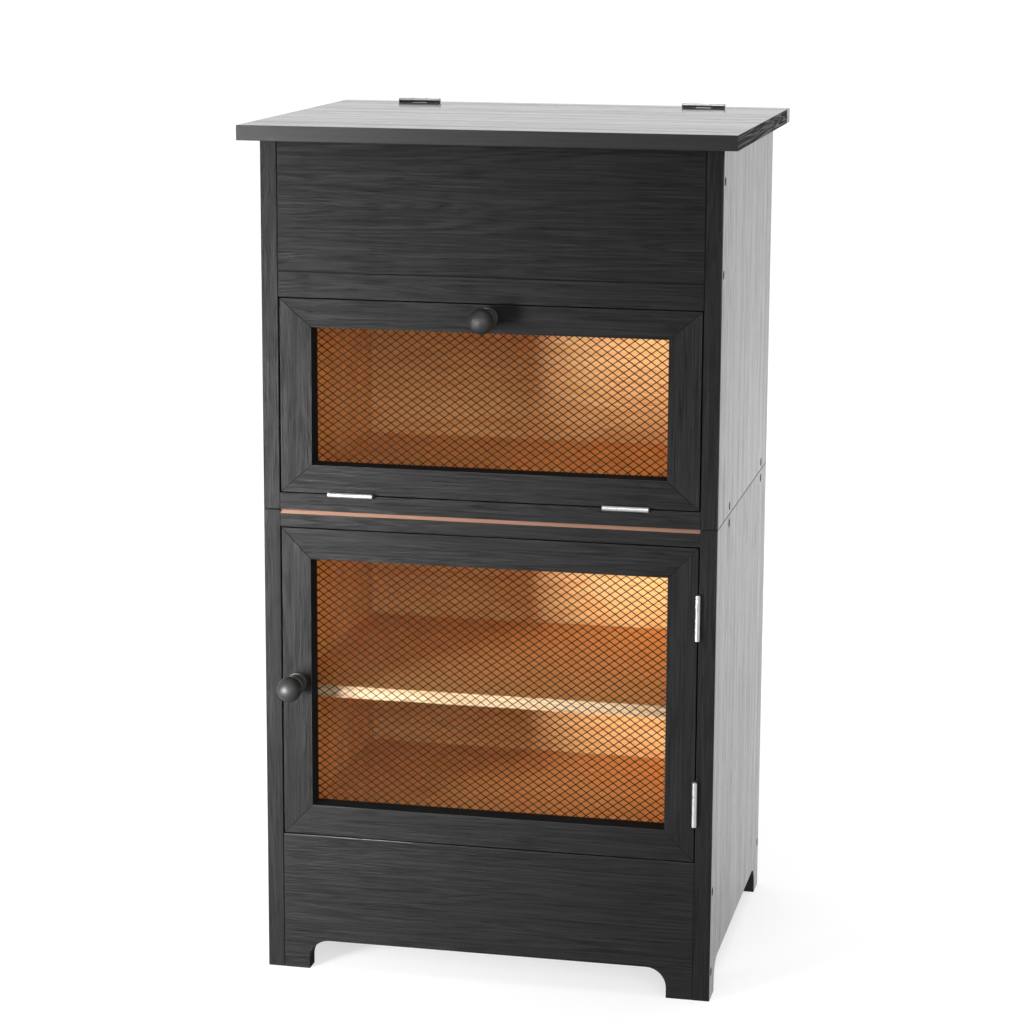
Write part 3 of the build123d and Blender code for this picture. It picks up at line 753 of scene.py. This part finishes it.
def leaf_parts(side, place):
    """The fixed leaf, side -1, with two outer knuckles, or the moving leaf with the middle one."""
    half, room = HINGE_HALF, KNUCKLE + PLAY
    if side < 0:
        corners = [(-half, 0), (-room, 0), (-room, NOTCH)]
        spans = [(-half, -KNUCKLE), (KNUCKLE, half)]
    else:
        room = KNUCKLE - 2 * PLAY
        corners = [(-half, NOTCH), (-room, NOTCH), (-room, 0)]
        spans = [(-KNUCKLE + PLAY, KNUCKLE - PLAY)]
    front = corners + [(-x, y) for x, y in reversed(corners)]
    outline = front + [(half, LEAF_WIDE), (-half, LEAF_WIDE)]
    holes = [circle((x, SCREW_Y), LEAF_SCREW[2] + 0.05) for x in (-SCREW_X, SCREW_X)]
    plate = sheet_plate([outline, *holes], LEAF_T, 0.08)
    plate.transform(Matrix.Translation((0, 0, FACE_GAP if side > 0 else -FACE_GAP - LEAF_T)))
    return [(plate, place)] + [(knuckle(*span), place) for span in spans]


def leaf_screws(side, place):
    """The two screws of a leaf, heads flush with the face that meets the other leaf."""
    parts = []
    for x in (-SCREW_X, SCREW_X):
        turn = Matrix.Rotation(math.pi if side > 0 else 0, 4, "X")
        spot = Matrix.Translation((x, SCREW_Y, FACE_GAP * side))
        parts += screw_parts(*LEAF_SCREW, place @ spot @ turn)
    return parts


pin_half = [(1.2, HINGE_HALF), (1.8, HINGE_HALF)] + arc((0, HINGE_HALF - 2.1), 2.7, 41, 85, 4)
pin = lathe([(r, -h) for r, h in reversed(pin_half)] + pin_half, 24)
pin.transform(TURN_TO_X)
for hinge, place in HINGES.items():
    for side, leaf in ((-1, "_fixed_leaf"), (1, "_moving_leaf")):
        mesh = rounded(assembled(hinge + leaf, leaf_parts(side, place)))
        finished(hinge + leaf + "_plated", mesh, hinge + leaf, zinc)
for group in ("lid", "bread", "lower"):
    pins = [(pin, place) for hinge, place in HINGES.items() if hinge.startswith(group)]
    node = group + "_hinge_pins"
    finished(node + "_plated", rounded(assembled(node, pins)), node, zinc)
print("hinges:", len(HINGES), "with domed pins")

# %% [markdown]
# Each leaf's screws belong to the board it is fixed to, so they are gathered by body. The
# strike plates and catches add theirs.

# %% Hinge, strike and catch screws
STRIKE_X, STRIKE_FACE, CATCH_Z = -177.0, DOOR_T + 1, {"bread": 560.0, "lower": 330.0}
EAR_X, EAR_Y, EAR_DZ = -182.5, 28.2, 16.0  # the screws in a catch's two ears
rows = {"carcass_hinge_screws": [], "lid_screws": [], "bread_door_screws": [],
        "lower_door_screws": [], "catch_screws": []}
for hinge, place in HINGES.items():
    moving = "lid_screws" if hinge.startswith("lid") else hinge.split("_")[0] + "_door_screws"
    rows[moving] += leaf_screws(1, place)
    rows["carcass_hinge_screws"] += leaf_screws(-1, place)
for door, z in CATCH_Z.items():
    back = at((STRIKE_X, STRIKE_FACE, z), (1, 0, 0), (0, 1, 0))
    rows[door + "_door_screws"] += screw_parts(*LEAF_SCREW, back)
    for dz in (-EAR_DZ, EAR_DZ):
        ear = at((EAR_X, EAR_Y, z + dz), (0, 1, 0), (1, 0, 0))
        rows["catch_screws"] += screw_parts(*LEAF_SCREW, ear)
for node, parts in rows.items():
    finished(node + "_heads", rounded(assembled(node, parts)), node, zinc)
print("small screws:", sum(len(parts) for parts in rows.values()) // 2)

# %% [markdown]
# ## Knobs
# Both knobs are turned from one blank: a flange against the rail, a hollow neck, a bead, a
# saucer and a ball. The profile is built from arcs, as the turner's gouge cuts them, and the
# lacquer fills the grain.

# %% Knobs
knob_profile = [(0.4, 0.0), (8.2, 0.0)] + arc((8.2, 0.9), 0.9, -60, 90, 5)
knob_profile += arc((10.2, 5.4), 4.6, 235, 152, 9)
knob_profile += arc((6.5, 9.3), 1.6, -75, 75, 8)
knob_profile += [(6.3, 11.3), (6.2, 12.2), (6.6, 12.9)]
knob_profile += arc((8.6, 14.2), 1.0, -80, 85, 7)
knob_profile += arc((0.0, 25.5), 11.0, -60, 89, 26)
knob_shape = lathe(knob_profile, 56)
KNOBS = {"bread": (0.0, 595.0), "lower": (-170.8, 265.0)}  # x and z of each door's knob
for door, (x, z) in KNOBS.items():
    out = at((x, 0, z), (1, 0, 0), (0, -1, 0))
    node = door + "_door_knob"
    finished(node + "_turned", rounded(assembled(node, [(knob_shape, out)]), 40), node, lacquer)
    back = at((x, DOOR_T, z), (1, 0, 0), (0, 1, 0))
    dome = lathe([(2.0, -32), (2.0, 0), (3.9, 0), (4.0, 0.5), (3.8, 0.9), (3.4, 1.1)], 28)
    face = sheet_plate([circle((0, 0), 3.5), cross(2.2, 0.5)], 0.7, 0.2)
    parts = [(dome, back), (face, back @ Matrix.Translation((0, 0, 0.9)))]
    finished(node + "_screw_head", rounded(assembled(node, parts)), node + "_screw", zinc)
print("knobs stand", max(h for _, h in knob_profile), "mm proud")

# %% [markdown]
# ## Wire mesh and staples
# Each window is backed by diamond mesh: two layers of straight wire, laid at opposite slants
# and welded where they cross. Drawing every wire as a round rod gives the crossings their
# real depth. Staples of bent wire, as wide as one diamond, hold the mesh to the back of the
# frame.

# %% Mesh and staples
PITCH_X, PITCH_Z = 9.5, 6.9
WIRE_R, LAYER, LAP, TRIM = 0.43, 0.6, 7.0, 0.4  # wire, from layer to layer, lap on the frame
STAPLE_WIRE, STAPLE_LEG, STAPLE_COLUMNS = 0.7, 6.0, (-12, 0, 12)
DOOR_HALF = 183.8
DOORS = {  # width of the stiles, height of the rails, bottom and top
    "bread": (28.0, 24.5, 436.2, 605.8),
    "lower": (26.0, 27.0, 126.2, 403.8),
}


def strands(half_x, half_z):
    """Ends of every wire, cut where it meets the edges of the mesh."""
    reach = int(half_x / PITCH_X + half_z / PITCH_Z) + 1
    found = []
    for layer, lean in ((0, -PITCH_Z / PITCH_X), (1, PITCH_Z / PITCH_X)):
        for k in range(-reach, reach + 1):
            start = k * PITCH_X
            low = max(-half_x - start, -half_z / abs(lean))
            high = min(half_x - start, half_z / abs(lean))
            if high - low > 2:
                y = (layer + 0.5) * LAYER
                found.append([(start + run, y, run * lean) for run in (low, high)])
    return found


def staple(along, x, z):
    """Points of one staple: a leg, the crown over the wire, and the other leg."""
    half = (PITCH_X if along == X else PITCH_Z) / 2
    crown = 2 * LAYER + STAPLE_WIRE / 2
    bend = [(-half, -STAPLE_LEG), (-half, crown - 0.6)]
    bend += [(-half + 0.2, crown - 0.15), (-half + 0.6, crown)]
    bend += [(-a, b) for a, b in reversed(bend)]
    if along == X:
        return [(x + a, b, z) for a, b in bend]
    return [(x, b, z + a) for a, b in bend]


def mesh_backing(door, stile, rail, low, high):
    """The mesh of one door and its staples, as two pieces."""
    half_x, half_z = DOOR_HALF - stile + LAP, (high - low) / 2 - rail + LAP
    middle = at((0, DOOR_T, (low + high) / 2))
    wires = strands(half_x - TRIM, half_z - TRIM)
    node = door + "_door_mesh"
    mesh = assembled(node, [(bent_wire(wires, WIRE_R), middle)])
    finished(node + "_welded", rounded(mesh, 60), node, powder_coat)
    row = round((half_z - LAP / 2) / PITCH_Z) * PITCH_Z
    column = round((half_x - LAP / 2) / PITCH_X) * PITCH_X
    step = round(half_z / PITCH_Z * 0.6) * PITCH_Z
    places = [(X, k * PITCH_X, z) for k in STAPLE_COLUMNS for z in (-row, row)]
    places += [(Z, x, k * step) for k in (-1, 0, 1) for x in (-column, column)]
    node = door + "_door_staples"
    bent = bent_wire([staple(*place) for place in places], STAPLE_WIRE / 2, 2)
    mesh = assembled(node, [(bent, middle)])
    finished(node + "_bent", rounded(mesh, 60), node, zinc)
    return len(wires), len(places)


for door, sizes in DOORS.items():
    print(door, "door wires and staples:", mesh_backing(door, *sizes))

# %% [markdown]
# ## Catches, shelf pins and dowels
# Inside the left side each door meets a small magnetic catch: a moulded housing, a ferrite
# block and a steel strike on the door. The shelf rests on four plated pins, turned with a
# chamfered end. The dowels are hidden in the joints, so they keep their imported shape.

# %% Inner hardware
for node, finish in (("bread_catch", moulded), ("lower_catch", moulded), ("catch_magnets", ferrite),
                     ("bread_door_strike", zinc), ("lower_door_strike", zinc)):
    mesh = as_mesh(eased(node, 0.25), node + "_shape")
    finished(node + "_finished", rounded(mesh, 20), node, finish)
peg = lathe([(2.1, -9), (2.5, -8.6), (2.5, 8.6), (2.1, 9)], 28)
peg.transform(TURN_TO_X)
PIN_Y, PIN_Z = (75.0, 262.0), 241.5
pegs = [(peg, at((x, y, PIN_Z))) for x in (-INNER_X, INNER_X) for y in PIN_Y]
finished("shelf_pins_turned", rounded(assembled("pins", pegs)), "shelf_pins", zinc)
for socket in nodes["dowels"].material_slots:
    socket.material = peg_wood
print("inner hardware finished")

# %% [markdown]
# ## Floor, light and background
# A product studio stands the object on a pale sweep of paper, lit until the camera sees it
# white. What gloss reflects of the sweep is lit only behind the object: in front of it the
# paper is a plain pale grey, which keeps the black fronts black. A low softbox with a grid
# stands close at the front left and makes the left of the front paler than the right. Two
# wider ones, at the right and above the camera, reach into the compartments, and the last
# hangs overhead.

# %% Floor
paper, tree = finish_tree("pale_paper_sweep")
where = add(tree, "ShaderNodeTexCoord")
fibre = add(tree, "ShaderNodeTexNoise", {
    "Vector": where.outputs["Object"], "Scale": 1000 / 3.0, "Detail": 3.0})
colour = add(tree, "ShaderNodeMix", {
    0: fibre.outputs["Fac"], 6: linear("#b9b9b9"), 7: linear("#bcbcbc")}, data_type="RGBA")
matt = add(tree, "ShaderNodeBsdfPrincipled", {
    "Base Color": colour.outputs[2], "Roughness": 0.9, "Specular IOR Level": 0.0})
depth = add(tree, "ShaderNodeSeparateXYZ", {0: where.outputs["Object"]})
behind = add(tree, "ShaderNodeMapRange", {
    "Value": depth.outputs["Y"], "From Min": -1.6, "From Max": 0.6},
    interpolation_type="SMOOTHSTEP")
path = add(tree, "ShaderNodeLightPath")
seen = add(tree, "ShaderNodeMath", {
    0: path.outputs["Is Glossy Ray"], 1: path.outputs["Is Transmission Ray"]}, operation="MAXIMUM")
glossy = add(tree, "ShaderNodeMath", {
    0: seen.outputs[0], 1: behind.outputs[0]}, operation="MULTIPLY")
lifted = add(tree, "ShaderNodeMath", {
    0: path.outputs["Is Camera Ray"], 1: glossy.outputs[0]}, operation="MAXIMUM")
away = add(tree, "ShaderNodeVectorMath", {0: where.outputs["Object"]}, operation="LENGTH")
lift = add(tree, "ShaderNodeMapRange", {
    "Value": away.outputs["Value"], "From Min": 0.4, "From Max": 2.5,
    "To Min": 0.62, "To Max": 0.88})
strength = add(tree, "ShaderNodeMath", {
    0: lifted.outputs[0], 1: lift.outputs[0]}, operation="MULTIPLY")
glow = add(tree, "ShaderNodeEmission", {
    "Color": linear("#ffffff"), "Strength": strength.outputs[0]})
shader = add(tree, "ShaderNodeAddShader", {0: matt.outputs[0], 1: glow.outputs[0]})
add(tree, "ShaderNodeOutputMaterial", {"Surface": shader.outputs[0]})

sweep = bmesh.new()
bmesh.ops.create_grid(sweep, x_segments=8, y_segments=8, size=40)
floor_mesh = bpy.data.meshes.new("paper_sweep")
sweep.to_mesh(floor_mesh)
sweep.free()
floor_mesh.materials.append(paper)
floor = bpy.data.objects.new("paper_sweep", floor_mesh)
bpy.context.scene.collection.objects.link(floor)
print("floor: pale paper, 80 m across, so its edge stays out of sight")

# %% [markdown]
# The world is a plain pale light for everything it falls on. What the camera sees of it is
# white, and so is what gloss and metal reflect of its far half, while its near half is the
# dim room behind the camera.

# %% World and lamps
world = bpy.data.worlds.new("studio_room")
bpy.context.scene.world = world
world.use_nodes = True
tree = world.node_tree
tree.nodes.clear()
way = add(tree, "ShaderNodeTexCoord")
towards = add(tree, "ShaderNodeSeparateXYZ", {0: way.outputs["Generated"]})
far_half = add(tree, "ShaderNodeMapRange", {
    "Value": towards.outputs["Y"], "From Min": -0.6, "From Max": 0.2, "To Min": 0.3, "To Max": 1.0})
path = add(tree, "ShaderNodeLightPath")
white = add(tree, "ShaderNodeMath", {
    0: path.outputs["Is Camera Ray"], 1: far_half.outputs[0]}, operation="MAXIMUM")
mirrored = add(tree, "ShaderNodeMath", {
    0: path.outputs["Is Glossy Ray"], 1: path.outputs["Is Transmission Ray"]}, operation="MAXIMUM")
shown = add(tree, "ShaderNodeMath", {
    0: path.outputs["Is Camera Ray"], 1: mirrored.outputs[0]}, operation="MAXIMUM")
plain = add(tree, "ShaderNodeBackground", {"Color": linear("#ffffff"), "Strength": 0.4})
backdrop = add(tree, "ShaderNodeBackground", {
    "Color": linear("#ffffff"), "Strength": white.outputs[0]})
both_sides = add(tree, "ShaderNodeMixShader", {
    0: shown.outputs[0], 1: plain.outputs[0], 2: backdrop.outputs[0]})
add(tree, "ShaderNodeOutputWorld", {"Surface": both_sides.outputs[0]})


def softbox(name, spot, target, size, power, spread=180):
    """A rectangular soft light at a spot, turned to a target; a grid narrows its spread."""
    lamp = bpy.data.lights.new(name, "AREA")
    lamp.shape = "RECTANGLE"
    lamp.size, lamp.size_y = size
    lamp.energy = power
    lamp.spread = math.radians(spread)
    stand = bpy.data.objects.new(name, lamp)
    stand.location = spot
    aim = Vector(target) - Vector(spot)
    stand.rotation_euler = aim.to_track_quat("-Z", "Y").to_euler()
    bpy.context.scene.collection.objects.link(stand)


softbox("left_softbox", (-0.95, -1.35, 0.32), (-0.45, -0.15, 0.32), (0.5, 0.6), 12, 50)
softbox("right_softbox", (1.3, -2.3, 0.95), (0, 0.1, 0.45), (1.0, 1.0), 25)
softbox("front_softbox", (0.1, -2.8, 1.5), (0, -0.1, 0.4), (1.8, 1.0), 22)
softbox("overhead_softbox", (0.2, 0.3, 2.7), (0, 0, 0.3), (2.2, 2.2), 30)
bpy.context.scene.view_settings.view_transform = "Standard"
print("world 0.4, four softboxes")

# %% [markdown]
# ## Camera
# The camera stands in front and to the right, a little above the lid and looking down, with a
# long lens, so that uprights converge only slightly. Its turns are applied in the order of a
# tripod head: pan, tilt, then roll. A small shift keeps the whole object in the frame.

# %% Camera
STAND = (0.53398, -2.51284, 0.93330)
PAN, TILT, ROLL = 0.2131, -0.1878, -0.0048
lens = bpy.data.cameras.new("studio_camera")
lens.sensor_width = 36.0
lens.lens = 101.42
lens.shift_y = -0.0508
camera = bpy.data.objects.new("studio_camera", lens)
head = Matrix.Rotation(PAN, 4, "Z") @ Matrix.Rotation(TILT, 4, "X") @ Matrix.Rotation(ROLL, 4, "Y")
camera.matrix_world = Matrix.Translation(STAND) @ head @ Matrix.Rotation(math.pi / 2, 4, "X")
bpy.context.scene.collection.objects.link(camera)
bpy.context.scene.camera = camera
print("camera: 101 mm lens at", [round(c, 3) for c in camera.matrix_world.translation])
